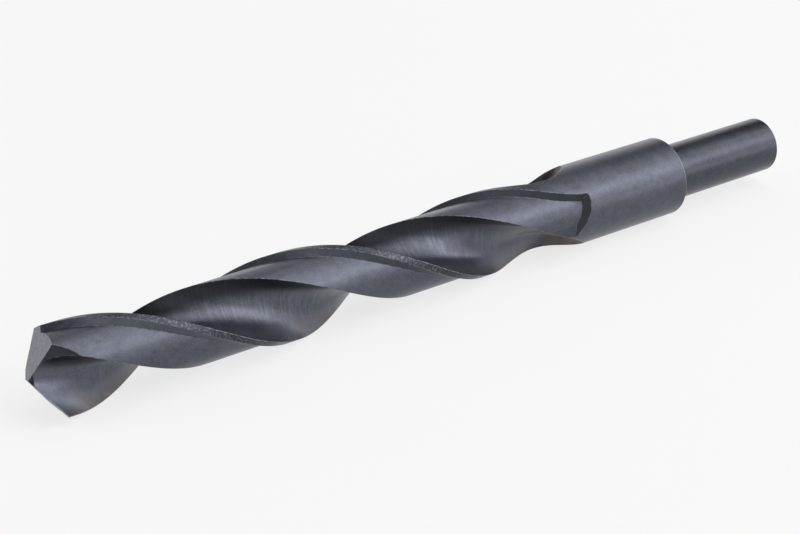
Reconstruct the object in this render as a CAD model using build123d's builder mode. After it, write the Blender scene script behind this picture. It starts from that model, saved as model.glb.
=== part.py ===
from build123d import *
from math import asin, atan2, cos, degrees, hypot, pi, radians, sin, sqrt, tan
import os

# Twist drill, 18 mm, with a reduced 12.7 mm shank.
#
# The drill lies along X: the shank's end face is at X = 0 and the point is at the +X end.
# Angles about the axis run from +Y towards +Z. A lip frame has its first axis along the lip,
# outwards, and its second axis square to it, into the flute that the lip cuts for.

# Lengths along the drill
overall_length = 191.0
flute_length = 130.0  # from the point to the end of the lands
shank_length = 32.5

# Diameters
drill_diameter = 18.0
shank_diameter = 12.7

# Helix and web
helix_angle = 30.0
straight_helix_length = 117.5  # from the point to where the helix begins to turn towards the axis
straightening_length = 17.0  # length over which it would become straight
web_thickness = 2.6  # at the point
web_growth = 0.017  # added to the web for each millimetre towards the shank

# Point
point_angle = 118.0
flank_relief = 17.0  # how steeply each flank falls away behind its lip
thinned_web = 1.0  # length of web left between the two gashes
gash_slope = 38.7  # of the gash's floor to the axis
gash_heading = -84.0  # of the gash's floor round from the lip, seen from the point
heel_wall = 67.0  # from the gash's upright to its wall on the heel
lip_wall = 93.0  # from the gash's upright to its wall on the lip

# Lands
margin_width = 1.55  # ground strip behind each lip's corner, measured round the rim
land_width = 12.2  # from the lip's corner to the heel, measured round the rim
clearance_depth = 1.3  # how far the land lies below its margin
step_run = 1.2  # width of the wall between margin and land
end_wall_tilt = 52.0  # of the facing of the wall that ends the clearance, to the axis
end_wall_heading = -9.0  # of that facing, round from the lip
heel_run_length = 112.6  # from the point to where the clearance's far side begins to rise
heel_run_slope = 0.44

# Flutes
root_turn = 75.0  # where the flute's floor touches the web, round from the lip
root_reach = 3.0  # how far out along the lip the root begins
lip_spans = 3  # equal spans that the lip side is drawn in
heel_lean = 107.0  # direction of the flute's heel side, round from the lip
heel_straight = 3.2  # how far the heel side runs straight
wheel_radius = 30.0  # of the wheel that lifts out at the flute's end
lift_turn = 105.0  # direction in which the wheel lifts, round from the lip

# Chamfers
collar_chamfer = 0.5
shank_chamfer = 1.0

# How the drill lies: the first lip's outer corner about the axis
corner_turn = 132.3

# Modelling allowances
overcut = 1.5  # how far a cutting shape passes the surface that it cuts
station_step = 5.0  # spacing of the cutting shapes' sections

# Worked out from the sizes above
rim = drill_diameter / 2
shank_radius = shank_diameter / 2
land_radius = rim - clearance_depth
cut_radius = rim + overcut
crown_radius = 2 * (cut_radius + overcut)  # where the cutting shapes close, well outside the rim
gash_reach = drill_diameter  # how far the gash's cutting shape runs out of the steel
half_web = web_thickness / 2
lip_reach = sqrt(rim**2 - half_web**2)
lip_fall = 1 / tan(radians(point_angle / 2))
relief_fall = tan(radians(flank_relief))
corner_x = overall_length - lip_reach * lip_fall + half_web * relief_fall
turn_rate = 360 * tan(radians(helix_angle)) / (pi * drill_diameter)
corner_angle = degrees(asin(half_web / rim))
margin_angle = degrees(margin_width / rim)
land_angle = degrees(land_width / rim)
lip_turn = corner_turn - corner_angle
margin_end = corner_angle - margin_angle
heel_angle = corner_angle - land_angle
flute_end_x = overall_length - flute_length
heel_run_x = overall_length - heel_run_length
helix_end_x = overall_length - straight_helix_length
lips = (0, 180)


def polar(radius, angle):
    """A point given by its distance from the axis and its angle in degrees."""
    return (radius * cos(radians(angle)), radius * sin(radians(angle)))


def shifted(point, distance, angle):
    """The point moved by a distance in the direction of an angle."""
    step = polar(distance, angle)
    return (point[0] + step[0], point[1] + step[1])


def helix_turn(x):
    """How far the section at x is turned from the section at the lips' corners."""
    past = helix_end_x - x
    if past <= 0:
        return (x - corner_x) * turn_rate
    past = min(past, straightening_length)
    return (helix_end_x - corner_x - past + past**2 / (2 * straightening_length)) * turn_rate


def lip_plane(x, angle):
    """Plane square to the axis at x, with its first axis turned to an angle about the axis."""
    return Plane(origin=(x, 0, 0), x_dir=(0, *polar(1, angle)), z_dir=(1, 0, 0))


def section_plane(x, lift=0):
    """The plane at x that follows the first lip round its helix, lifted as the flute's wheel is."""
    plane = lip_plane(x, lip_turn + helix_turn(x))
    plane.origin = plane.from_local_coords((*polar(lift, lift_turn), 0))
    return plane


def stations(end_x):
    """Places of a cutter's sections, from past the point to end_x."""
    start_x = overall_length + overcut
    count = round((start_x - end_x) / station_step)
    return [start_x + (end_x - start_x) * index / count for index in range(count + 1)]


def lip_side(reach):
    """A point of the flute's lip side, on the screw that makes the lip a straight line."""
    angle = degrees(atan2(half_web, reach))
    return polar(hypot(reach, half_web), angle - turn_rate * lip_fall * (lip_reach - reach))


def web_radius(x):
    """Half of the web's thickness at x."""
    return (web_thickness + web_growth * max(overall_length - x, 0)) / 2


def wheel_lift(x):
    """How far the wheel has lifted out of the flute at x: its lip side clears the rim at the end."""
    rise = rim - half_web
    run_out = sqrt(wheel_radius**2 - (wheel_radius - rise) ** 2)
    past = max(flute_end_x + run_out - x, 0)
    return wheel_radius - sqrt(wheel_radius**2 - past**2)


def flute_section(x):
    """The flute ahead of one lip: its lip side, floor and heel side, closed outside the rim."""
    lip_step = (cut_radius - root_reach) / lip_spans
    heel = polar(land_radius, 180 + heel_angle)
    outline = [lip_side(cut_radius - lip_step * span) for span in range(lip_spans + 1)]
    outline += [
        polar(web_radius(x), root_turn),
        shifted(heel, -heel_straight, heel_lean),
        heel,
        shifted(heel, clearance_depth + overcut, heel_lean),
    ]
    crown = polar(crown_radius, heel_lean / 2)
    with BuildSketch(section_plane(x, wheel_lift(x))) as section:
        with BuildLine():
            add(Edge.make_spline([Vector(*point) for point in outline], parameters=range(len(outline))))
            Polyline(outline[-1], crown, outline[0])
        make_face()
    return section.sketch


def clearance_section(x):
    """The strip behind one margin: its step wall, and its far side past the heel."""
    step_angle = margin_end - degrees(step_run / land_radius)
    wall = (polar(rim, margin_end), polar(land_radius, step_angle))
    wall_rise = degrees(atan2(wall[0][1] - wall[1][1], wall[0][0] - wall[1][0]))
    far_angle = heel_angle - degrees(overcut / land_radius)
    far_rise = heel_run_slope * max(heel_run_x - x, 0)
    with BuildSketch(section_plane(x)) as section:
        with BuildLine():
            Polyline(
                shifted(wall[0], overcut, wall_rise),
                shifted(wall[1], -overcut, wall_rise),
                polar(land_radius - overcut + far_rise, far_angle),
                polar(crown_radius, far_angle),
                polar(crown_radius, (margin_end + far_angle) / 2),
                close=True,
            )
        make_face()
    return section.sketch


def end_wall_plane():
    """The slanting wall that ends the clearance beside its margin."""
    plane = section_plane(flute_end_x)
    across = polar(sin(radians(end_wall_tilt)), end_wall_heading)
    facing = plane.x_dir * across[0] + plane.y_dir * across[1]
    facing = facing + plane.z_dir * cos(radians(end_wall_tilt))
    return Plane(origin=plane.from_local_coords((*polar(rim, margin_end), 0)), z_dir=facing)


def flank_plane(side):
    """The flat that is ground behind one lip, facing out of the steel."""
    lip = lip_plane(overall_length, lip_turn + side)
    facing = lip.x_dir * lip_fall - lip.y_dir * relief_fall + lip.z_dir
    return Plane(origin=lip.origin, z_dir=facing)


def gash_plane():
    """Plane square to the gash's floor, through the end of the chisel edge."""
    lip = lip_plane(overall_length, lip_turn)
    half_thinned = thinned_web / 2
    chisel_end = lip.from_local_coords((-half_thinned * relief_fall / lip_fall, -half_thinned, 0))
    outward = polar(sin(radians(gash_slope)), gash_heading)
    floor = lip.x_dir * outward[0] + lip.y_dir * outward[1] - lip.z_dir * cos(radians(gash_slope))
    upright = lip.z_dir - floor * floor.dot(lip.z_dir)
    return Plane(origin=chisel_end, x_dir=upright, z_dir=floor)


# Cutting shapes for the first side: the drill's second side is the same, half a turn on
with BuildPart() as flute:
    loft([flute_section(x) for x in stations(flute_end_x - overcut)])

with BuildPart() as clearance:
    loft([clearance_section(x) for x in stations(flute_end_x - overcut)])
    with BuildSketch(Plane.XZ):
        with BuildLine():
            Polyline(
                (0, land_radius),
                (0, crown_radius),
                (2 * overall_length, crown_radius),
                (2 * overall_length, land_radius),
                close=True,
            )
        make_face()
    revolve(axis=Axis.X, mode=Mode.INTERSECT)
    split(bisect_by=end_wall_plane(), keep=Keep.TOP)

with BuildPart() as gash:
    with BuildSketch(gash_plane()):
        with BuildLine():
            Polyline(
                (0, 0),
                polar(gash_reach, -heel_wall),
                polar(gash_reach, (lip_wall - heel_wall) / 2),
                polar(gash_reach, lip_wall),
                close=True,
            )
        make_face()
    extrude(amount=gash_reach, both=True)

with BuildPart() as drill_bit:
    with BuildSketch(Plane.XZ):
        with BuildLine():
            Polyline(
                (0, 0),
                (0, shank_radius),
                (shank_length, shank_radius),
                (shank_length, rim),
                (overall_length, rim),
                (overall_length, 0),
                close=True,
            )
        make_face()
    revolve(axis=Axis.X)
    shank_end_edges, collar_end_edges = drill_bit.edges().filter_by(GeomType.CIRCLE).group_by(Axis.X)[:2]
    chamfer(shank_end_edges, shank_chamfer)
    chamfer(collar_end_edges.sort_by(SortBy.RADIUS)[-1], collar_chamfer)
    for side in lips:
        add(flute.part, rotation=(side, 0, 0), mode=Mode.SUBTRACT)
    for side in lips:
        add(clearance.part, rotation=(side, 0, 0), mode=Mode.SUBTRACT)
    for side in lips:
        split(bisect_by=flank_plane(side), keep=Keep.BOTTOM)
        add(gash.part, rotation=(side, 0, 0), mode=Mode.SUBTRACT)

drill_bit.part.label = "drill_bit"
os.makedirs("parts", exist_ok=True)
export_step(drill_bit.part, "parts/drill_bit.step")
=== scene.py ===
import math

import bpy
from mathutils import Matrix, Vector


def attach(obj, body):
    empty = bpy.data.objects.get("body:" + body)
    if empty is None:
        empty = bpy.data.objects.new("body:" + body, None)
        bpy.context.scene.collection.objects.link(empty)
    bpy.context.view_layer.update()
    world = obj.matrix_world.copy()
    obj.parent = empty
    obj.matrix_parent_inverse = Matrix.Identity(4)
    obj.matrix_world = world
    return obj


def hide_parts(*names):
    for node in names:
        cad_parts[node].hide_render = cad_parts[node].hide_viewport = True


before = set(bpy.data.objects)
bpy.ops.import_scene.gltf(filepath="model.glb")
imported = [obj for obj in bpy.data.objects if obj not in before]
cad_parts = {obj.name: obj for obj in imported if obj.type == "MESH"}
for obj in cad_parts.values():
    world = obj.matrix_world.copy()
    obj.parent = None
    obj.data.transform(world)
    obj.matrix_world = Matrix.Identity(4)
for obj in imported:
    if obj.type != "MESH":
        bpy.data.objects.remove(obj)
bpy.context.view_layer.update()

# Twist drill, 18 mm, with a reduced 12.7 mm shank.
#
# The drill lies along X: the shank's end face is at X = 0 and the point is at the +X end.
# Angles about the axis run from +Y towards +Z. A lip frame has its first axis along the lip,
# outwards, and its second axis square to it, into the flute that the lip cuts for.

# ---------------------------------------------------------------- sizes, in millimetres and degrees
MM = 0.001  # a millimetre, in metres
HALF_TURN = 180.0

# Lengths along the drill
OVERALL_LENGTH = 191.0
FLUTE_LENGTH = 130.0  # from the point to the end of the lands
SHANK_LENGTH = 32.5

# Radii
RIM = 9.0  # at the margins and the collar
SHANK_RADIUS = 6.35

# Helix and web
HELIX_ANGLE = 30.0
STRAIGHT_HELIX_LENGTH = 117.5  # from the point to where the helix begins to turn towards the axis
STRAIGHTENING_LENGTH = 17.0  # length over which it would become straight
WEB_THICKNESS = 2.6  # at the point
WEB_GROWTH = 0.017  # added to the web for each millimetre towards the shank

# Point
POINT_ANGLE = 118.0
FLANK_RELIEF = 17.0  # how steeply each flank falls away behind its lip
THINNED_WEB = 1.0  # length of web left between the two gashes
GASH_SLOPE = 38.7  # of the gash's floor to the axis
GASH_HEADING = -84.0  # of the gash's floor round from the lip, seen from the point
HEEL_WALL = 67.0  # from the gash's upright to its wall on the heel
LIP_WALL = 93.0  # from the gash's upright to its wall on the lip

# Lands
MARGIN_WIDTH = 1.55  # ground strip behind each lip's corner, measured round the rim
LAND_WIDTH = 12.2  # from the lip's corner to the heel, measured round the rim
CLEARANCE_DEPTH = 1.3  # how far the land lies below its margin
STEP_RUN = 1.2  # width of the wall between margin and land
END_WALL_TILT = 52.0  # of the facing of the wall that ends the clearance, to the axis
END_WALL_HEADING = -9.0  # of that facing, round from the lip
HEEL_RUN_LENGTH = 112.6  # from the point to where the clearance's far side begins to rise
HEEL_RUN_SLOPE = 0.44  # how far it rises for each millimetre towards the shank

# Flutes
ROOT_TURN = 75.0  # where the flute's floor touches the web, round from the lip
ROOT_REACH = 3.0  # how far out along the lip the root begins
LIP_SPANS = 3  # equal spans that the lip side is drawn in
HEEL_LEAN = 107.0  # direction of the flute's heel side, round from the lip
HEEL_STRAIGHT = 3.2  # how far the heel side runs straight
WHEEL_RADIUS = 30.0  # of the wheel that lifts out at the flute's end
LIFT_TURN = 105.0  # direction in which the wheel lifts, round from the lip

# Chamfers
COLLAR_CHAMFER = 0.5
SHANK_CHAMFER = 1.0

# How the drill lies: the first lip's outer corner about the axis
CORNER_TURN = 132.3

# How the surfaces are drawn
OVERCUT = 1.5  # how far a cutting shape passes the surface that it cuts
STEPS_PER_SPAN = 11  # points on each span of a smooth outline
RELAXING_ROUNDS = 40  # rounds in which a smooth outline's slopes settle
FLUTE_STATIONS = 260
CLEARANCE_STATIONS = 240
TURNED_SEGMENTS = 360
SHARP_EDGE = 20.0  # bends sharper than this stay crisp
SOLVER = "MANIFOLD"  # how the cutting shapes are taken away

# Worked out from the sizes above
LAND_RADIUS = RIM - CLEARANCE_DEPTH
CUT_RADIUS = RIM + OVERCUT
CROWN_RADIUS = 2 * (CUT_RADIUS + OVERCUT)  # where the cutting shapes close, well outside the rim
GASH_REACH = 2 * RIM  # how far the gash's cutting shape runs out of the steel
HALF_WEB = WEB_THICKNESS / 2
HALF_SHANK_END_WEB = (WEB_THICKNESS + WEB_GROWTH * OVERALL_LENGTH) / 2
LIP_REACH = math.sqrt(RIM**2 - HALF_WEB**2)
LIP_FALL = 1 / math.tan(math.radians(POINT_ANGLE / 2))
RELIEF_FALL = math.tan(math.radians(FLANK_RELIEF))
CORNER_X = OVERALL_LENGTH - LIP_REACH * LIP_FALL + HALF_WEB * RELIEF_FALL
TURN_RATE = 2 * HALF_TURN * math.tan(math.radians(HELIX_ANGLE)) / (math.pi * 2 * RIM)  # for each millimetre
CORNER_ANGLE = math.degrees(math.asin(HALF_WEB / RIM))
MARGIN_END = CORNER_ANGLE - math.degrees(MARGIN_WIDTH / RIM)
HEEL_ANGLE = CORNER_ANGLE - math.degrees(LAND_WIDTH / RIM)
LIP_TURN = CORNER_TURN - CORNER_ANGLE
FLUTE_END_X = OVERALL_LENGTH - FLUTE_LENGTH
HELIX_END_X = OVERALL_LENGTH - STRAIGHT_HELIX_LENGTH
HEEL_RUN_X = OVERALL_LENGTH - HEEL_RUN_LENGTH
WHEEL_RISE = RIM - HALF_WEB
LIFT_FROM_X = FLUTE_END_X + math.sqrt(WHEEL_RADIUS**2 - (WHEEL_RADIUS - WHEEL_RISE) ** 2)


# ---------------------------------------------------------------- the steel's finish and its painted light, in values
# The finish of each face, as the material reads it
FINISH = "finish"
FINISH_TURNED = 0.0
FINISH_FLUTE = 1.0
FINISH_STEP = 2.0
FINISH_LAND = 3.0
FINISH_FLANK = 4.0
FINISH_GASH = 5.0
FINISH_SLACK = 0.4  # how far a mark may be off its value

# Colours
OXIDE_DARK = (0.070, 0.075, 0.096, 1)
OXIDE_LIGHT = (0.100, 0.106, 0.134, 1)
OXIDE_SPECK = (0.135, 0.142, 0.172, 1)
# Painted shade in the hollows; also the plain darker tone of the margins and shank
DARKENING_AND_PAINTED_SHADE = (0.016, 0.018, 0.021, 1)
MILLED_LINE = (0.15, 0.157, 0.188, 1)
# Painted light: a lighter colour on the flutes' lip faces
PAINTED_LIGHT_ON_LIP_FACE = (0.17, 0.178, 0.215, 1)
MARGIN_GLINT = (0.20, 0.205, 0.24, 1)
GROUND_FLANK = (0.20, 0.20, 0.215, 1)
# Straw in the flutes' ends, also used as a painted brown reflection low down
STRAW_AND_PAINTED_REFLECTION = (0.125, 0.092, 0.075, 1)
# Paler straw at the run-outs, painted light where they face upwards
PALE_STRAW_AND_PAINTED_LIGHT = (0.30, 0.25, 0.22, 1)
# Rubbed metal along the edges, also a painted highlight there, and a painted highlight round the collar
BRIGHT_METAL_AND_HIGHLIGHT = (0.34, 0.345, 0.37, 1)

# Grains, with their size, how many finer grains lie on them and how strong those are
BLOTCHES = {"size": 5.0, "detail": 4.0, "roughness": 0.55}
TINT_PATCHES = {"size": 3.0, "detail": 3.0, "roughness": 0.55}
PATCHES = {"size": 1.6, "detail": 5.0, "roughness": 0.65}
CHIPS = {"size": 0.8, "detail": 4.0, "roughness": 0.55}
GROUND_GRAIN = {"size": 0.5, "detail": 3.0, "roughness": 0.7}
SPECKS = {"size": 0.4, "detail": 2.0, "roughness": 0.55}

# Lines, with their size along the drill and across it, and how much they waver
CROSS_LINES = {"along": 0.3, "across": 5.0, "detail": 3.0, "waver": 0.5}
RING_LINES = {"along": 0.2, "across": 9.0, "detail": 2.0, "waver": 0.0}
LAND_LINES = {"along": 9.0, "across": 0.5, "detail": 3.0, "waver": 0.0}
LINE_ROUGHNESS = 0.55

# Where a grain begins to count, and where it counts in full
BLOTCH_SPREAD = (0.3, 0.7)
PATCH_SPREAD = (0.35, 0.65)
SPECK_SPREAD = (0.40, 0.72)
CROSS_LINE_SPREAD = (0.49, 0.64)
GLINT_SPREAD = (0.5, 0.68)
GROUND_SPREAD = (0.32, 0.68)
GROUND_SHARE = (0.2, 0.7)  # how much of the ground flank shows there
TINT_SPREAD = (0.3, 0.6)
CHIP_SPREAD = (0.38, 0.60)
BEND_SPREAD = (0.985, 0.90)  # cosine of how far an edge's rounding turns the surface

# Where a finish begins and where it is full, from the place that each name says
MARGIN_FROM_FLUTE_END = (5.0, 19.0)
STRAW_FROM_FLUTE_END = (14.0, -1.0)
RUN_OUT_FROM_FLUTE_END = (3.0, -3.0)
RUN_UP_FROM_FLUTE_END = (5.0, 2.5)
# Where the painted shade on the step walls is full, and where it is gone
SHADED_STEP_FROM_FLUTE_END = 6.0
UNSHADED_STEP_FROM_CORNER = -12.0
POINT_FROM_CORNER = (-14.0, -4.0)
RING_FROM_SHANK = (0.8, 0.45)
UNDERSIDE_FROM_AXIS = (-4.5, -8.0)
LIP_FACE_FROM_AXIS = (3.5, 7.5)
LIP_FACE_FROM_LIP = (3.5, 1.5)
# Painted shade in the flute deepens from the lip towards the heel
SHADE_FROM_LIP = (1.8, 4.8)
FACE_SLACK = 0.05  # keeps the collar's end face out of the shank's finish

# How much of a finish shows
BLOTCH_SHARE = 0.5
SPECK_SHARE = 0.3
CROSS_LINE_SHARE = 0.5
# Share of painted light on the flutes' lip faces
LIP_FACE_SHARE = 0.65
MILLED_LOSS_AT_POINT = 0.8
# Painted shade in the flutes, on the step walls and in the gashes; plain darkening on the margins and shank
PAINTED_SHADE_IN_FLUTE = 0.86
PAINTED_SHADE_ON_STEP = 0.62
PAINTED_SHADE_IN_GASH = 0.75
DARKENING_ON_MARGIN = 0.6
DARKENING_ON_SHANK = 0.3
GLINT_SHARE = 0.5
STRAW_IN_FLUTE = 0.6
# Painted brown reflection on the underside
PAINTED_REFLECTION_UNDERNEATH = 0.5
# Rubbed metal along the cutting edges, which is also a painted highlight; the collar's ring is a painted
# highlight only
RUBBED_EDGE_AND_HIGHLIGHT = 0.8
PAINTED_COLLAR_HIGHLIGHT = 0.5

# How rough the steel is, and what adds to it
METALLIC = 0.9
ROUGHNESS = 0.25
BLOTCH_ROUGHNESS = 0.14
SPECK_ROUGHNESS = 0.06
FLANK_ROUGHNESS = 0.08
SHANK_ROUGHNESS = -0.03
STEP_ROUGHNESS = 0.12
RUN_OUT_ROUGHNESS = 0.35

# The fine relief
RELIEF_STRENGTH = 0.4
RELIEF_DEPTH = 0.014
CROSS_LINE_RELIEF = 4.0
RING_RELIEF = 0.6
LAND_LINE_RELIEF = 0.8
PATCH_RELIEF = 1.5
SPECK_RELIEF = 0.7
MARGIN_RELIEF = 1.6
EDGE_ROUNDING = 0.25
RUN_UP_ROUNDING = 1.3
ROUNDING_SAMPLES = 6

# ---------------------------------------------------------------- the studio, in values
WHITE = (1, 1, 1, 1)
FLOOR_REACH = 3.0  # in metres
FLOOR_COLOUR = (0.8, 0.8, 0.8, 1)
FLOOR_ROUGHNESS = 0.9
FLOOR_GLOSS = 0.2
FLOOR_WHITENESS = 0.75  # share of plain white in what is seen of the floor
SWEEP_TOP = 0.2  # sine of the height at which the white sweep begins to fade
SWEEP_FADED = 0.34  # sine of the height at which it has faded
ABOVE_SWEEP = 0.03  # what is left of its white above that

# Each lamp's heading and height in degrees, and how bright its face is
LAMPS = {
    "key": (125, 43, 2.5),
    "side": (168, 27, 2.0),
    "low_side": (133, 21, 1.1),
    "low_front": (100, 25, 0.6),
    "front": (60, 40, 1.3),
    "overhead": (138, 75, 1.35),
    "overhead_back": (-170, 64, 1.0),
    "far_side": (-37, 21, 2.6),
    "back": (-120, 21, 0.6),
    "high_back": (-120, 50, 0.6),
}
LAMP_DISTANCE = 1.5  # in metres
LAMP_DIAMETER = 1.1  # in metres
LAMPS_FACE = Vector((95, 0, 0))  # near the middle of the drill

CAMERA_LENS = 78.344
CAMERA_SENSOR = 36
CAMERA_PLACE = Vector((294.790, 264.548, 165.479))
CAMERA_FORWARD = Vector((-0.515496, -0.724398, -0.457724))
CAMERA_RIGHT = Vector((-0.814759, 0.579800, 0))


# ---------------------------------------------------------------- outlines
def polar(radius, angle):
    """A point given by its distance from the axis and its angle in degrees."""
    return Vector((radius * math.cos(math.radians(angle)), radius * math.sin(math.radians(angle))))


def lip_side(reach):
    """A point of the flute's lip side, on the screw that makes the lip a straight line."""
    angle = math.degrees(math.atan2(HALF_WEB, reach))
    return polar(math.hypot(reach, HALF_WEB), angle - TURN_RATE * LIP_FALL * (LIP_REACH - reach))


def end_slope(a, b, c, d):
    """The slope at a of the cubic through four evenly timed points."""
    return (b * 18 - a * 11 - c * 9 + d * 2) / 6


def smooth_through(points):
    """A smooth curve through evenly timed points, as a row of many points."""
    last = len(points) - 1
    slopes = [end_slope(*points[:4])] + [Vector((0, 0))] * (last - 1) + [-end_slope(*points[:-5:-1])]
    for _ in range(RELAXING_ROUNDS):
        for i in range(1, last):
            slopes[i] = ((points[i + 1] - points[i - 1]) * 3 - slopes[i - 1] - slopes[i + 1]) / 4
    row = []
    for i in range(last):
        for step in range(STEPS_PER_SPAN):
            u = step / STEPS_PER_SPAN
            row.append(
                points[i] * (2 * u**3 - 3 * u**2 + 1)
                + slopes[i] * (u**3 - 2 * u**2 + u)
                + points[i + 1] * (3 * u**2 - 2 * u**3)
                + slopes[i + 1] * (u**3 - u**2)
            )
    return row + [points[last]]


def flute_outline(web_radius):
    """The flute ahead of one lip: lip side, floor and heel side, closed outside the rim."""
    lip_step = (CUT_RADIUS - ROOT_REACH) / LIP_SPANS
    heel = polar(LAND_RADIUS, HALF_TURN + HEEL_ANGLE)
    points = [lip_side(CUT_RADIUS - lip_step * span) for span in range(LIP_SPANS + 1)]
    points += [
        polar(web_radius, ROOT_TURN),
        heel - polar(HEEL_STRAIGHT, HEEL_LEAN),
        heel,
        heel + polar(CLEARANCE_DEPTH + OVERCUT, HEEL_LEAN),
    ]
    return smooth_through(points) + [polar(CROWN_RADIUS, HEEL_LEAN / 2)]


def clearance_outline(far_rise):
    """The strip behind one margin: its step wall, and its far side past the heel."""
    top = polar(RIM, MARGIN_END)
    foot = polar(LAND_RADIUS, MARGIN_END - math.degrees(STEP_RUN / LAND_RADIUS))
    rise = (top - foot).normalized()
    far_angle = HEEL_ANGLE - math.degrees(OVERCUT / LAND_RADIUS)
    return [
        top + rise * OVERCUT,
        foot - rise * OVERCUT,
        polar(LAND_RADIUS - OVERCUT + far_rise, far_angle),
        polar(CROWN_RADIUS, far_angle),
        polar(CROWN_RADIUS, (MARGIN_END + far_angle) / 2),
    ]


def gash_outline():
    """The gash's section across its floor: the heel's wall and the lip's wall."""
    return [
        Vector((0, 0)),
        polar(GASH_REACH, -HEEL_WALL),
        polar(GASH_REACH, (LIP_WALL - HEEL_WALL) / 2),
        polar(GASH_REACH, LIP_WALL),
    ]


def square_outline(reach):
    return [Vector((reach * u, reach * v)) for u, v in ((-1, -1), (1, -1), (1, 1), (-1, 1))]


def blank_row():
    """The blank's outline from its shank end to its point end, as distance along and radius."""
    return [
        Vector((0, SHANK_RADIUS - SHANK_CHAMFER)),
        Vector((SHANK_CHAMFER, SHANK_RADIUS)),
        Vector((SHANK_LENGTH, SHANK_RADIUS)),
        Vector((SHANK_LENGTH, RIM - COLLAR_CHAMFER)),
        Vector((SHANK_LENGTH + COLLAR_CHAMFER, RIM)),
        Vector((OVERALL_LENGTH, RIM)),
    ]


def land_row():
    """The steel that the clearance leaves standing, as distance along and radius."""
    return [Vector((x, LAND_RADIUS)) for x in (0, OVERALL_LENGTH + CROWN_RADIUS)]


class OutlineStore:
    """One mesh of loose points that holds every outline, and where each begins."""

    def __init__(self):
        self.points = []

    def add(self, *outlines):
        """Keeps outlines of as many points each, and says where they begin and how many those are."""
        first = len(self.points)
        for outline in outlines:
            self.points += [(p.x, p.y, 0) for p in outline]
        return first, len(outlines[0])

    def add_loop(self, *loops):
        """Keeps loops anticlockwise, so that the faces swept from them point outwards."""
        area = sum(p.cross(q) for p, q in zip(loops[0], loops[0][1:] + loops[0][:1]))
        return self.add(*(loop if area > 0 else loop[::-1] for loop in loops))

    def as_object(self):
        mesh = bpy.data.meshes.new("outlines")
        mesh.from_pydata(self.points, [], [])
        return bpy.data.objects.new("outlines", mesh)


# ---------------------------------------------------------------- writing nodes
class NodeWriter:
    """A short way to write the nodes of one tree."""

    def __init__(self, tree):
        self.tree = tree

    def feed(self, socket, value):
        if isinstance(value, bpy.types.NodeSocket):
            self.tree.links.new(value, socket)
        else:
            socket.default_value = value

    def node(self, kind, inputs=None, **settings):
        made = self.tree.nodes.new(kind)
        for key, value in settings.items():
            setattr(made, key, value)
        for key, value in (inputs or {}).items():
            self.feed(made.inputs[key], value)
        return made

    def math(self, operation, *values):
        return self.node("ShaderNodeMath", dict(enumerate(values)), operation=operation).outputs[0]

    def vector(self, operation, *values):
        return self.node("ShaderNodeVectorMath", dict(enumerate(values)), operation=operation).outputs[0]

    def split(self, vector):
        return self.node("ShaderNodeSeparateXYZ", {0: vector}).outputs

    def joined(self, x, y, z):
        return self.node("ShaderNodeCombineXYZ", {"X": x, "Y": y, "Z": z}).outputs[0]

    def taken_together(self, operation, values):
        total, *others = values
        for value in others:
            total = self.math(operation, total, value)
        return total

    def product(self, *values):
        return self.taken_together("MULTIPLY", values)

    def greatest(self, *values):
        return self.taken_together("MAXIMUM", values)

    def rest_of(self, share):
        return self.math("SUBTRACT", 1.0, share)

    def weighted_sum(self, start, *terms):
        """The start and each term's value by its weight."""
        for weight, value in terms:
            start = self.math("MULTIPLY_ADD", value, weight, start)
        return start

    def turned(self, u, v, angle):
        """The place of a point u and v after a turn about the axis."""
        cos, sin = self.math("COSINE", angle), self.math("SINE", angle)
        y = self.math("SUBTRACT", self.product(u, cos), self.product(v, sin))
        return y, self.math("ADD", self.product(u, sin), self.product(v, cos))


def helix_turn(n, x, first_turn, turn_rate, turn_from_x, straighten_from_x, straightening):
    """How far the section at x is turned about the axis, in radians, in a tree's nodes."""
    slack = n.greatest(n.math("SUBTRACT", straighten_from_x, x), 0.0)
    slack = n.math("MINIMUM", slack, straightening)
    eased = n.math("DIVIDE", n.product(slack, slack), n.product(straightening, 2.0))
    length = n.math("SUBTRACT", n.greatest(x, straighten_from_x), turn_from_x)
    length = n.math("ADD", n.math("SUBTRACT", length, slack), eased)
    return n.math("MULTIPLY_ADD", length, turn_rate, first_turn)


def live_socket(sockets, label):
    """The socket of a name that the node's settings have in use."""
    return next(socket for socket in sockets if socket.name == label and socket.enabled)


# ---------------------------------------------------------------- geometry node trees
FLOAT = "NodeSocketFloat"
INT = "NodeSocketInt"
GEOMETRY = "NodeSocketGeometry"
VECTOR = "NodeSocketVector"
OBJECT = "NodeSocketObject"
MATERIAL = "NodeSocketMaterial"


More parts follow.
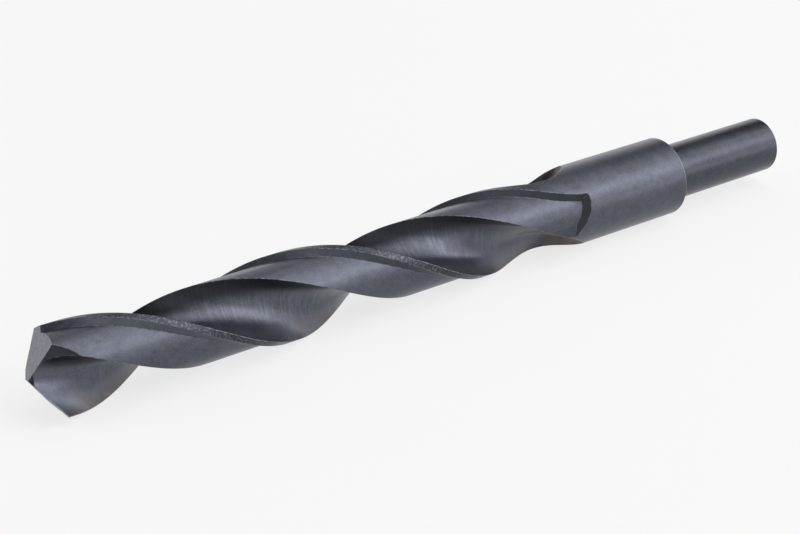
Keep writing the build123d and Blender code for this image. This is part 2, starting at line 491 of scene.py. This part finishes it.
class ShapeTree(NodeWriter):
    """A geometry node group with named inputs."""

    def __init__(self, name, inputs):
        super().__init__(bpy.data.node_groups.new(name, "GeometryNodeTree"))
        sockets = self.tree.interface
        sockets.new_socket("Geometry", in_out="OUTPUT", socket_type=GEOMETRY)
        for label, kind in inputs.items():
            sockets.new_socket(label, in_out="INPUT", socket_type=kind)
        self.source = self.node("NodeGroupInput")
        self.sink = self.node("NodeGroupOutput")

    def arg(self, label):
        return self.source.outputs[label]

    def call(self, group, inputs):
        made = self.node("GeometryNodeGroup", node_tree=group)
        for label, value in inputs.items():
            self.feed(made.inputs[label], value)
        return made.outputs[0]

    def scaled(self, vector, factor):
        return self.node("ShaderNodeVectorMath", {0: vector, "Scale": factor}, operation="SCALE").outputs[0]

    def position(self):
        return self.node("GeometryNodeInputPosition").outputs[0]

    def stored_point(self, index):
        """The place of one stored outline point."""
        sizes = {"Geometry": self.arg("Outlines"), "Index": index}
        sample = self.node("GeometryNodeSampleIndex", sizes, data_type="FLOAT_VECTOR", domain="POINT")
        self.feed(live_socket(sample.inputs, "Value"), self.position())
        return live_socket(sample.outputs, "Value")

    def tube(self, around, along):
        """A capped tube of one vertex for each outline point."""
        sizes = {"Vertices": around, "Side Segments": along, "Radius": 1.0, "Depth": 1.0}
        return self.node("GeometryNodeMeshCylinder", sizes, fill_type="NGON").outputs["Mesh"]

    def tube_height(self, place):
        """How far along its tube a vertex is, from 0 to 1."""
        return self.math("ADD", place["Z"], 0.5)

    def tube_places(self, around):
        """Which outline point a tube's vertex stands for, and how far along the vertex is."""
        place = self.split(self.position())
        turn = self.math("ARCTAN2", place["Y"], place["X"])
        step = self.math("DIVIDE", 2 * math.pi, around)
        index = self.math("ROUND", self.math("DIVIDE", turn, step))
        return self.math("FLOORED_MODULO", index, around), self.tube_height(place)

    def moved(self, mesh, place):
        return self.node("GeometryNodeSetPosition", {"Geometry": mesh, "Position": place}).outputs[0]

    def marked(self, mesh, finish):
        """The mesh with its faces marked with a finish."""
        sizes = {"Geometry": mesh, "Name": FINISH}
        stored = self.node("GeometryNodeStoreNamedAttribute", sizes, data_type="FLOAT", domain="FACE")
        self.feed(live_socket(stored.inputs, "Value"), finish)
        return stored.outputs[0]

    def cut(self, base, *cutters):
        made = self.node("GeometryNodeMeshBoolean", {"Mesh 1": base}, operation="DIFFERENCE", solver=SOLVER)
        for cutter in cutters:
            self.feed(made.inputs["Mesh 2"], cutter)
        return made.outputs["Mesh"]

    def other_side(self, mesh):
        """The mesh turned half round the axis."""
        return self.node("GeometryNodeTransform", {"Geometry": mesh, "Rotation": (math.pi, 0, 0)}).outputs[0]

    def shaded(self, mesh, smooth, domain, selection=True):
        sizes = {"Geometry": mesh, "Selection": selection, "Shade Smooth": smooth}
        return self.node("GeometryNodeSetShadeSmooth", sizes, domain=domain).outputs[0]

    def ended_by(self, geometry):
        """The group, which gives this geometry."""
        self.feed(self.sink.inputs[0], geometry)
        return self.tree


def swept_tree():
    """A closed outline swept along the axis: it changes, lifts and turns by rule.

    It changes from the first stored outline towards the second, by one whole change for each change
    length behind the place where the change begins. It is lifted as a wheel of the given radius lifts.
    """
    t = ShapeTree(
        "Swept outline",
        {
            "Outlines": GEOMETRY,
            "First Point": INT,
            "Points": INT,
            "Stations": INT,
            "Start X": FLOAT,
            "End X": FLOAT,
            "Change From X": FLOAT,
            "Change Length": FLOAT,
            "Lift From X": FLOAT,
            "Wheel Radius": FLOAT,
            "Lift Turn": FLOAT,
            "First Turn": FLOAT,
            "Turn Per Length": FLOAT,
            "Turn From X": FLOAT,
            "Straighten From X": FLOAT,
            "Straightening": FLOAT,
        },
    )
    index, along = t.tube_places(t.arg("Points"))
    length = t.math("SUBTRACT", t.arg("End X"), t.arg("Start X"))
    x = t.math("MULTIPLY_ADD", along, length, t.arg("Start X"))

    index = t.math("ADD", index, t.arg("First Point"))
    first = t.stored_point(index)
    second = t.stored_point(t.math("ADD", index, t.arg("Points")))
    change = t.math("DIVIDE", t.math("SUBTRACT", t.arg("Change From X"), x), t.arg("Change Length"))
    change = t.greatest(change, 0.0)
    flat = t.split(t.vector("ADD", first, t.scaled(t.vector("SUBTRACT", second, first), change)))

    past = t.greatest(t.math("SUBTRACT", t.arg("Lift From X"), x), 0.0)
    square = t.product(t.arg("Wheel Radius"), t.arg("Wheel Radius"))
    height = t.math("SQRT", t.math("SUBTRACT", square, t.product(past, past)))
    lift = t.math("SUBTRACT", t.arg("Wheel Radius"), height)
    u = t.math("MULTIPLY_ADD", lift, t.math("COSINE", t.arg("Lift Turn")), flat["X"])
    v = t.math("MULTIPLY_ADD", lift, t.math("SINE", t.arg("Lift Turn")), flat["Y"])

    helix = ("First Turn", "Turn Per Length", "Turn From X", "Straighten From X", "Straightening")
    y, z = t.turned(u, v, helix_turn(t, x, *(t.arg(label) for label in helix)))
    return t.ended_by(t.moved(t.tube(t.arg("Points"), t.arg("Stations")), t.joined(x, y, z)))


def turned_tree():
    """A row of points, each a distance along and a radius, turned about the axis."""
    t = ShapeTree(
        "Turned row",
        {"Outlines": GEOMETRY, "First Point": INT, "Points": INT, "Segments": INT},
    )
    spans = t.math("SUBTRACT", t.arg("Points"), 1.0)
    place = t.split(t.position())
    index = t.math("ROUND", t.product(t.tube_height(place), spans))
    row = t.split(t.stored_point(t.math("ADD", index, t.arg("First Point"))))
    y = t.product(place["X"], row["Y"])
    z = t.product(place["Y"], row["Y"])
    return t.ended_by(t.moved(t.tube(t.arg("Segments"), spans), t.joined(row["X"], y, z)))


def pushed_tree():
    """A flat outline pushed along a direction, from one distance to another."""
    t = ShapeTree(
        "Pushed outline",
        {
            "Outlines": GEOMETRY,
            "First Point": INT,
            "Points": INT,
            "Origin": VECTOR,
            "First Axis": VECTOR,
            "Push Axis": VECTOR,
            "Push From": FLOAT,
            "Push To": FLOAT,
        },
    )
    index, along = t.tube_places(t.arg("Points"))
    flat = t.split(t.stored_point(t.math("ADD", index, t.arg("First Point"))))
    push = t.math("SUBTRACT", t.arg("Push To"), t.arg("Push From"))
    push = t.math("MULTIPLY_ADD", along, push, t.arg("Push From"))
    second = t.vector("CROSS_PRODUCT", t.arg("Push Axis"), t.arg("First Axis"))
    place = t.vector("ADD", t.arg("Origin"), t.scaled(t.arg("First Axis"), flat["X"]))
    place = t.vector("ADD", place, t.scaled(second, flat["Y"]))
    place = t.vector("ADD", place, t.scaled(t.arg("Push Axis"), push))
    return t.ended_by(t.moved(t.tube(t.arg("Points"), 1), place))


def twist_drill_tree(store_places):
    """The turned blank, less its flutes, clearances, flanks and gashes."""
    t = ShapeTree(
        "Twist drill",
        {
            "Outlines": OBJECT,
            "Turned Segments": INT,
            "Flute Stations": INT,
            "Clearance Stations": INT,
            "Point X": FLOAT,
            "Flute End X": FLOAT,
            "Cut Past": FLOAT,
            "Lift From X": FLOAT,
            "Wheel Radius": FLOAT,
            "Lift Turn": FLOAT,
            "Lip Turn": FLOAT,
            "Turn Per Length": FLOAT,
            "Lip Corner X": FLOAT,
            "Straighten From X": FLOAT,
            "Straightening": FLOAT,
            "Heel Run X": FLOAT,
            "Sharp Edge": FLOAT,
            "Size": FLOAT,
            "Steel": MATERIAL,
        },
    )
    swept = swept_tree()
    turned = turned_tree()
    pushed = pushed_tree()
    outlines = t.node("GeometryNodeObjectInfo", {"Object": t.arg("Outlines")}).outputs["Geometry"]

    def shape(group, name, finish, inputs):
        """One stored outline made solid by a group, and marked with a finish."""
        first, count = store_places[name]
        made = t.call(group, {"Outlines": outlines, "First Point": first, "Points": count, **inputs})
        return t.marked(made, finish)

    def pushed_shape(name, finish, plane, push_from, push_to):
        origin, first_axis, facing = plane
        inputs = {"Origin": origin, "First Axis": first_axis, "Push Axis": facing}
        return shape(pushed, name, finish, {**inputs, "Push From": push_from, "Push To": push_to})

    helix = {
        "Start X": t.math("SUBTRACT", t.arg("Flute End X"), t.arg("Cut Past")),
        "End X": t.math("ADD", t.arg("Point X"), t.arg("Cut Past")),
        "First Turn": t.arg("Lip Turn"),
        "Turn Per Length": t.arg("Turn Per Length"),
        "Turn From X": t.arg("Lip Corner X"),
        "Straighten From X": t.arg("Straighten From X"),
        "Straightening": t.arg("Straightening"),
        "Wheel Radius": t.arg("Wheel Radius"),
    }
    # The web grows all the way from the point to X = 0, and the wheel lifts out at the flute's end
    web_and_run_out = {
        "Stations": t.arg("Flute Stations"),
        "Change From X": t.arg("Point X"),
        "Change Length": t.arg("Point X"),
        "Lift From X": t.arg("Lift From X"),
        "Lift Turn": t.arg("Lift Turn"),
    }
    flute = shape(swept, "flute", FINISH_FLUTE, {**helix, **web_and_run_out})

    # The far side rises by its slope for each millimetre, and nothing is lifted
    heel_run = {
        "Stations": t.arg("Clearance Stations"),
        "Change From X": t.arg("Heel Run X"),
        "Change Length": 1.0,
        "Lift From X": 0.0,
        "Lift Turn": 0.0,
    }
    strip = shape(swept, "clearance", FINISH_STEP, {**helix, **heel_run})
    core = shape(turned, "land", FINISH_LAND, {"Segments": t.arg("Turned Segments")})
    behind_wall = pushed_shape("square", FINISH_STEP, end_wall_plane(), -CROWN_RADIUS, 0.0)
    clearance = t.cut(strip, core, behind_wall)

    flank = pushed_shape("square", FINISH_FLANK, flank_plane(), 0.0, CROWN_RADIUS)
    gash = pushed_shape("gash", FINISH_GASH, gash_plane(), -GASH_REACH, GASH_REACH)
    body = shape(turned, "blank", FINISH_TURNED, {"Segments": t.arg("Turned Segments")})
    for cutter in (flute, clearance, flank, gash):
        body = t.cut(body, cutter, t.other_side(cutter))

    angle = t.node("GeometryNodeInputMeshEdgeAngle").outputs["Unsigned Angle"]
    sharp = {0: angle, 1: t.arg("Sharp Edge")}
    sharp = t.node("FunctionNodeCompare", sharp, operation="GREATER_THAN").outputs[0]
    body = t.shaded(body, True, "FACE")
    body = t.shaded(body, False, "EDGE", sharp)
    size = t.joined(t.arg("Size"), t.arg("Size"), t.arg("Size"))
    body = t.node("GeometryNodeTransform", {"Geometry": body, "Scale": size}).outputs[0]
    body = t.node("GeometryNodeRealizeInstances", {"Geometry": body}).outputs[0]
    body = t.node("GeometryNodeSetMaterial", {"Geometry": body, "Material": t.arg("Steel")}).outputs[0]
    return t.ended_by(body)


# ---------------------------------------------------------------- planes, as origin, first axis and facing
def section_turn(x):
    """How far the section at x is turned about the axis, in degrees."""
    past = HELIX_END_X - x
    if past <= 0:
        return LIP_TURN + (x - CORNER_X) * TURN_RATE
    past = min(past, STRAIGHTENING_LENGTH)
    return LIP_TURN + (HELIX_END_X - CORNER_X - past + past**2 / (2 * STRAIGHTENING_LENGTH)) * TURN_RATE


def in_section(x, turn, flat):
    """A point or a direction, x along the axis and flat across it, in a section that is turned."""
    flat = Matrix.Rotation(math.radians(turn), 2) @ flat
    return Vector((x, flat.x, flat.y))


def facing_plane(origin, facing):
    """A plane whose first axis may point any way along it."""
    facing = facing.normalized()
    return origin, facing.orthogonal().normalized(), facing


def flank_plane():
    facing = in_section(1, LIP_TURN, Vector((LIP_FALL, -RELIEF_FALL)))
    return facing_plane(Vector((OVERALL_LENGTH, 0, 0)), facing)


def end_wall_plane():
    turn = section_turn(FLUTE_END_X)
    across = polar(math.sin(math.radians(END_WALL_TILT)), END_WALL_HEADING)
    facing = in_section(math.cos(math.radians(END_WALL_TILT)), turn, across)
    return facing_plane(in_section(FLUTE_END_X, turn, polar(RIM, MARGIN_END)), facing)


def gash_plane():
    """The gash's floor runs along the facing, and its upright is square to that, towards the point."""
    half_thinned = THINNED_WEB / 2
    start = Vector((-half_thinned * RELIEF_FALL / LIP_FALL, -half_thinned))
    outward = polar(math.sin(math.radians(GASH_SLOPE)), GASH_HEADING)
    floor = in_section(-math.cos(math.radians(GASH_SLOPE)), LIP_TURN, outward)
    upright = Vector((1, 0, 0))
    upright = (upright - floor * floor.dot(upright)).normalized()
    return in_section(OVERALL_LENGTH, LIP_TURN, start), upright, floor


# ---------------------------------------------------------------- the drill
def set_inputs(modifier, values):
    """Sets a modifier's named inputs by their sockets' identifiers."""
    for item in modifier.node_group.interface.items_tree:
        if item.item_type == "SOCKET" and item.in_out == "INPUT" and item.name in values:
            modifier[item.identifier] = values[item.name]


def make_drill(steel):
    """The drill as one plain mesh, from its node tree."""
    store = OutlineStore()
    store_places = {
        "flute": store.add_loop(flute_outline(HALF_WEB), flute_outline(HALF_SHANK_END_WEB)),
        "clearance": store.add_loop(clearance_outline(0), clearance_outline(HEEL_RUN_SLOPE)),
        "gash": store.add_loop(gash_outline()),
        "square": store.add_loop(square_outline(CROWN_RADIUS)),
        "blank": store.add(blank_row()),
        "land": store.add(land_row()),
    }
    outlines = store.as_object()
    maker = bpy.data.objects.new("drill_maker", bpy.data.meshes.new("drill_maker"))
    bpy.context.scene.collection.objects.link(maker)
    modifier = maker.modifiers.new("Twist drill", "NODES")
    modifier.node_group = twist_drill_tree(store_places)
    set_inputs(
        modifier,
        {
            "Outlines": outlines,
            "Turned Segments": TURNED_SEGMENTS,
            "Flute Stations": FLUTE_STATIONS,
            "Clearance Stations": CLEARANCE_STATIONS,
            "Point X": OVERALL_LENGTH,
            "Flute End X": FLUTE_END_X,
            "Cut Past": OVERCUT,
            "Lift From X": LIFT_FROM_X,
            "Wheel Radius": WHEEL_RADIUS,
            "Lift Turn": math.radians(LIFT_TURN),
            "Lip Turn": math.radians(LIP_TURN),
            "Turn Per Length": math.radians(TURN_RATE),
            "Lip Corner X": CORNER_X,
            "Straighten From X": HELIX_END_X,
            "Straightening": STRAIGHTENING_LENGTH,
            "Heel Run X": HEEL_RUN_X,
            "Sharp Edge": math.radians(SHARP_EDGE),
            "Size": MM,
            "Steel": steel,
        },
    )
    evaluated = maker.evaluated_get(bpy.context.evaluated_depsgraph_get())
    mesh = bpy.data.meshes.new_from_object(evaluated)
    bpy.data.objects.remove(maker)
    bpy.data.objects.remove(outlines)
    mesh.name = "twist_drill"
    drill = bpy.data.objects.new("twist_drill", mesh)
    bpy.context.scene.collection.objects.link(drill)
    return drill


# ---------------------------------------------------------------- the steel's finish and its painted light
class Shader(NodeWriter):
    """A material's nodes. Patterns are in millimetres."""

    def __init__(self, name):
        self.material = bpy.data.materials.new(name)
        self.material.use_nodes = True
        super().__init__(self.material.node_tree)
        self.surface = self.tree.nodes["Principled BSDF"]

    def ramp(self, value, low, high, to_low=0.0, to_high=1.0):
        """The value's range from low to high, made to_low to to_high and held there."""
        sizes = {"Value": value, "From Min": low, "From Max": high, "To Min": to_low, "To Max": to_high}
        return self.node("ShaderNodeMapRange", sizes, clamp=True, interpolation_type="SMOOTHSTEP").outputs[0]

    def fade(self, x, origin, begins_and_full):
        """0 rising to 1 along x, between two distances from an origin."""
        begins, full = begins_and_full
        return self.ramp(x, origin + begins, origin + full)

    def noise(self, place, size, detail, roughness, waver=0.0):
        """Noise from 0 to 1 whose grains are about a size across."""
        sizes = {"Vector": place, "Scale": 1 / size, "Detail": detail, "Roughness": roughness}
        sizes["Distortion"] = waver
        return self.node("ShaderNodeTexNoise", sizes, noise_dimensions="3D").outputs[0]

    def lines(self, place, along, across, detail, waver):
        """Noise drawn out into lines, by its size along the drill and across it."""
        drawn_out = self.vector("MULTIPLY", place, (1 / along, 1 / across, 1 / across))
        return self.noise(drawn_out, 1.0, detail, LINE_ROUGHNESS, waver)

    def mix(self, factor, first, second):
        sizes = {0: factor, 6: first, 7: second}
        return self.node("ShaderNodeMix", sizes, data_type="RGBA", blend_type="MIX").outputs[2]

    def is_finish(self, finish):
        """1 on faces marked with a finish, 0 elsewhere."""
        mark = self.node("ShaderNodeAttribute", attribute_name=FINISH, attribute_type="GEOMETRY")
        return self.math("COMPARE", mark.outputs["Fac"], finish, FINISH_SLACK)


class DrillSurface:
    """Where each kind of surface lies, 1 there and 0 elsewhere, and the grains all over it."""

    def __init__(self, s):
        at = s.split(s.node("ShaderNodeTexCoord").outputs["Object"])
        x, y, z = (s.math("DIVIDE", at[axis], MM) for axis in "XYZ")
        angle = helix_turn(
            s, x, math.radians(LIP_TURN), math.radians(TURN_RATE), CORNER_X, HELIX_END_X, STRAIGHTENING_LENGTH
        )
        u, v = s.turned(y, z, s.math("MULTIPLY", angle, -1.0))
        self.place = s.joined(x, y, z)
        following = s.joined(x, u, v)
        out_along_lip = s.math("ABSOLUTE", u)
        behind_lip = s.math("ABSOLUTE", v)

        self.turned = s.is_finish(FINISH_TURNED)
        self.flute = s.is_finish(FINISH_FLUTE)
        self.step = s.is_finish(FINISH_STEP)
        self.land = s.is_finish(FINISH_LAND)
        self.flank = s.is_finish(FINISH_FLANK)
        self.gash = s.is_finish(FINISH_GASH)
        self.shank = s.math("LESS_THAN", x, SHANK_LENGTH - FACE_SLACK)
        self.margin = s.product(self.turned, s.fade(x, FLUTE_END_X, MARGIN_FROM_FLUTE_END))
        point = s.fade(x, CORNER_X, POINT_FROM_CORNER)
        self.milled = s.product(self.flute, s.rest_of(s.product(point, MILLED_LOSS_AT_POINT)))
        # Where painted light lightens the flute's lip face
        beside_lip = s.ramp(behind_lip, *LIP_FACE_FROM_LIP)
        self.lip_face_light = s.product(s.ramp(out_along_lip, *LIP_FACE_FROM_AXIS), beside_lip, self.flute)
        # Painted shade on the flute's heel side, away from the lip
        self.flute_painted_shade = s.product(s.ramp(behind_lip, *SHADE_FROM_LIP), self.flute)
        self.flute_end = s.product(s.fade(x, FLUTE_END_X, STRAW_FROM_FLUTE_END), self.flute)
        self.run_out = s.product(s.fade(x, FLUTE_END_X, RUN_OUT_FROM_FLUTE_END), self.flute)
        self.run_up = s.product(self.land, s.fade(x, FLUTE_END_X, RUN_UP_FROM_FLUTE_END))
        # Low down, where the painted brown reflection lies
        self.underside = s.ramp(z, *UNDERSIDE_FROM_AXIS)
        # The collar's end, where a painted highlight runs round
        ring = s.product(s.fade(x, SHANK_LENGTH, RING_FROM_SHANK), self.turned)
        self.collar_ring = s.product(ring, s.rest_of(self.shank))
        # Painted shade on the step walls, fading out towards the point
        step_ends = (FLUTE_END_X + SHADED_STEP_FROM_FLUTE_END, CORNER_X + UNSHADED_STEP_FROM_CORNER)
        self.step_painted_shade = s.product(self.step, s.ramp(x, *step_ends, PAINTED_SHADE_ON_STEP, 0.0))

        self.blotches = s.noise(self.place, **BLOTCHES)
        self.patches = s.noise(self.place, **PATCHES)
        self.specks = s.noise(self.place, **SPECKS)
        self.fine = s.ramp(self.specks, *SPECK_SPREAD)
        self.cross_lines = s.lines(following, **CROSS_LINES)
        self.ring_lines = s.lines(self.place, **RING_LINES)
        self.land_lines = s.lines(following, **LAND_LINES)


def oxide_and_painted_light(s, on):
    """Mottled oxide, with painted shade in the flutes' depths, the gashes and the step walls, plain darkening
    on the margins and shank, and painted light on the flutes' lip faces.
    """
    shade = s.product(s.ramp(on.blotches, *BLOTCH_SPREAD), BLOTCH_SHARE)
    shade = s.weighted_sum(shade, (1 - BLOTCH_SHARE, s.ramp(on.patches, *PATCH_SPREAD)))
    colour = s.mix(shade, OXIDE_DARK, OXIDE_LIGHT)
    colour = s.mix(s.product(on.fine, SPECK_SHARE), colour, OXIDE_SPECK)
    lines = s.product(s.ramp(on.cross_lines, *CROSS_LINE_SPREAD), on.milled, CROSS_LINE_SHARE)
    colour = s.mix(lines, colour, MILLED_LINE)
    # Painted light on the flutes' lip faces
    colour = s.mix(s.product(on.lip_face_light, LIP_FACE_SHARE), colour, PAINTED_LIGHT_ON_LIP_FACE)
    # Painted shade in the flutes' heel sides, on the step walls and in the gashes; plain darkening on the
    # margins and shank
    darkening_and_shade = s.greatest(
        s.product(on.flute_painted_shade, PAINTED_SHADE_IN_FLUTE),
        on.step_painted_shade,
        s.product(on.gash, PAINTED_SHADE_IN_GASH),
        s.product(on.margin, DARKENING_ON_MARGIN),
        s.product(on.shank, DARKENING_ON_SHANK),
    )
    colour = s.mix(darkening_and_shade, colour, DARKENING_AND_PAINTED_SHADE)
    glint = s.product(on.margin, s.ramp(on.specks, *GLINT_SPREAD), GLINT_SHARE)
    colour = s.mix(glint, colour, MARGIN_GLINT)
    ground = s.ramp(s.noise(on.place, **GROUND_GRAIN), *GROUND_SPREAD, *GROUND_SHARE)
    return s.mix(s.product(on.flank, ground), colour, GROUND_FLANK)


def straw_and_painted_light(s, on, colour):
    """Straw where the oxide is thin towards the flutes' ends, paler at the run-outs as painted light, and a
    painted brown reflection low down.
    """
    # Straw in the flutes' ends is the steel's own; the brown low down is a painted reflection, and the paler
    # run-out is painted light
    tint_share = s.greatest(s.product(on.flute_end, STRAW_IN_FLUTE), s.product(on.underside, PAINTED_REFLECTION_UNDERNEATH))
    tint_share = s.product(tint_share, s.ramp(s.noise(on.place, **TINT_PATCHES), *TINT_SPREAD))
    return s.mix(tint_share, colour, s.mix(on.run_out, STRAW_AND_PAINTED_REFLECTION, PALE_STRAW_AND_PAINTED_LIGHT))


def rubbed_edges_and_highlights(s, on, colour, rounded):
    """Bright metal along the edges: rubbed metal that is also a painted highlight, broken along the cutting
    edges; a painted highlight whole round the collar's end.
    """
    true = s.node("ShaderNodeNewGeometry").outputs["Normal"]
    bend = s.node("ShaderNodeVectorMath", {0: rounded, 1: true}, operation="DOT_PRODUCT").outputs["Value"]
    chips = s.ramp(s.noise(on.place, **CHIPS), *CHIP_SPREAD)
    # Rubbed metal along the cutting edges, also a painted highlight
    edge = s.product(s.ramp(bend, *BEND_SPREAD), s.rest_of(on.run_up), chips, RUBBED_EDGE_AND_HIGHLIGHT)
    # Painted highlight round the collar's end
    return s.mix(s.greatest(edge, s.product(on.collar_ring, PAINTED_COLLAR_HIGHLIGHT)), colour, BRIGHT_METAL_AND_HIGHLIGHT)


def steel_roughness(s, on):
    return s.weighted_sum(
        ROUGHNESS,
        (BLOTCH_ROUGHNESS, on.blotches),
        (SPECK_ROUGHNESS, on.fine),
        (FLANK_ROUGHNESS, on.flank),
        (SHANK_ROUGHNESS, on.shank),
        (STEP_ROUGHNESS, on.step),
        (RUN_OUT_ROUGHNESS, on.run_out),
    )


def steel_relief(s, on, rounded):
    """Lines left by the wheel and the lathe, and the oxide's grain, as a bent surface."""
    height = s.weighted_sum(
        0.0,
        (CROSS_LINE_RELIEF, s.product(on.cross_lines, on.milled)),
        (RING_RELIEF, s.product(on.ring_lines, on.turned)),
        (LAND_LINE_RELIEF, s.product(on.land_lines, on.land)),
        (PATCH_RELIEF, s.product(on.patches, s.rest_of(on.flute))),
        (SPECK_RELIEF, on.specks),
        (MARGIN_RELIEF, s.product(on.specks, on.margin)),
    )
    sizes = {"Strength": RELIEF_STRENGTH, "Distance": RELIEF_DEPTH * MM, "Height": height, "Normal": rounded}
    return s.node("ShaderNodeBump", sizes).outputs[0]


def oxide_steel():
    """Blue-black oxide over milled and ground steel, rubbed brighter along its edges; its colour also holds
    painted shade, painted light, a painted reflection and painted highlights.
    """
    s = Shader("oxide_steel")
    on = DrillSurface(s)
    reach = s.weighted_sum(EDGE_ROUNDING * MM, (RUN_UP_ROUNDING * MM, on.run_up))
    rounded = s.node("ShaderNodeBevel", {"Radius": reach}, samples=ROUNDING_SAMPLES).outputs[0]
    colour = rubbed_edges_and_highlights(s, on, straw_and_painted_light(s, on, oxide_and_painted_light(s, on)), rounded)
    s.feed(s.surface.inputs["Base Color"], colour)
    s.feed(s.surface.inputs["Roughness"], steel_roughness(s, on))
    s.feed(s.surface.inputs["Metallic"], METALLIC)
    s.feed(s.surface.inputs["Normal"], steel_relief(s, on, rounded))
    return s.material


drill = make_drill(oxide_steel())
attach(drill, "root")
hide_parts("drill_bit")


# ---------------------------------------------------------------- floor, lamps, sweep and camera
def seen_or_mirrored(n):
    """1 for what the camera sees, straight or by way of a mirroring or clear surface."""
    rays = n.node("ShaderNodeLightPath").outputs
    return n.greatest(rays["Is Camera Ray"], rays["Is Glossy Ray"], rays["Is Transmission Ray"])


def make_floor():
    mesh = bpy.data.meshes.new("floor")
    corners = [(corner.x, corner.y, -RIM * MM) for corner in square_outline(FLOOR_REACH)]
    mesh.from_pydata(corners, [], [(0, 1, 2, 3)])
    floor = bpy.data.objects.new("floor", mesh)
    bpy.context.scene.collection.objects.link(floor)
    s = Shader("pale_floor")
    s.feed(s.surface.inputs["Base Color"], FLOOR_COLOUR)
    s.feed(s.surface.inputs["Roughness"], FLOOR_ROUGHNESS)
    s.feed(s.surface.inputs["Specular IOR Level"], FLOOR_GLOSS)
    glow = s.node("ShaderNodeEmission", {"Color": WHITE, "Strength": 1.0}).outputs[0]
    share = s.product(seen_or_mirrored(s), FLOOR_WHITENESS)
    blend = s.node("ShaderNodeMixShader", {0: share, 1: s.surface.outputs[0], 2: glow}).outputs[0]
    s.feed(s.tree.nodes["Material Output"].inputs["Surface"], blend)
    mesh.materials.append(s.material)


def make_softbox(name, heading, height, brightness):
    """A round soft lamp that faces the drill."""
    lamp = bpy.data.lights.new(name, "AREA")
    lamp.shape = "DISK"
    lamp.size = LAMP_DIAMETER
    face_area = math.pi * (LAMP_DIAMETER / 2) ** 2
    lamp.energy = brightness * math.pi * face_area
    softbox = bpy.data.objects.new(name, lamp)
    bpy.context.scene.collection.objects.link(softbox)
    flat = polar(math.cos(math.radians(height)), heading)
    towards = Vector((flat.x, flat.y, math.sin(math.radians(height))))
    softbox.location = LAMPS_FACE * MM + towards * LAMP_DISTANCE
    softbox.rotation_euler = towards.to_track_quat("Z", "Y").to_euler()
    softbox.visible_camera = False


def make_sweep():
    """A white sweep all round that fades out above, seen directly and in the steel."""
    world = bpy.data.worlds.new("studio")
    world.use_nodes = True
    n = NodeWriter(world.node_tree)
    height = n.split(n.node("ShaderNodeTexCoord").outputs["Generated"])["Z"]
    sizes = {"Value": height, "From Min": SWEEP_FADED, "From Max": SWEEP_TOP, "To Min": ABOVE_SWEEP}
    sweep = n.node("ShaderNodeMapRange", sizes).outputs[0]
    background = n.tree.nodes["Background"]
    n.feed(background.inputs["Color"], WHITE)
    n.feed(background.inputs["Strength"], n.product(sweep, seen_or_mirrored(n)))
    bpy.context.scene.world = world


def make_camera():
    view = bpy.data.cameras.new("camera")
    view.lens = CAMERA_LENS
    view.sensor_width = CAMERA_SENSOR
    camera = bpy.data.objects.new("camera", view)
    bpy.context.scene.collection.objects.link(camera)
    axes = Matrix((CAMERA_RIGHT, CAMERA_RIGHT.cross(CAMERA_FORWARD), -CAMERA_FORWARD))
    camera.matrix_world = Matrix.Translation(CAMERA_PLACE * MM) @ axes.transposed().to_4x4()
    bpy.context.scene.camera = camera


make_floor()
for lamp_name, lamp_settings in LAMPS.items():
    make_softbox(lamp_name, *lamp_settings)
make_sweep()
make_camera()
bpy.context.scene.view_settings.view_transform = "Standard"
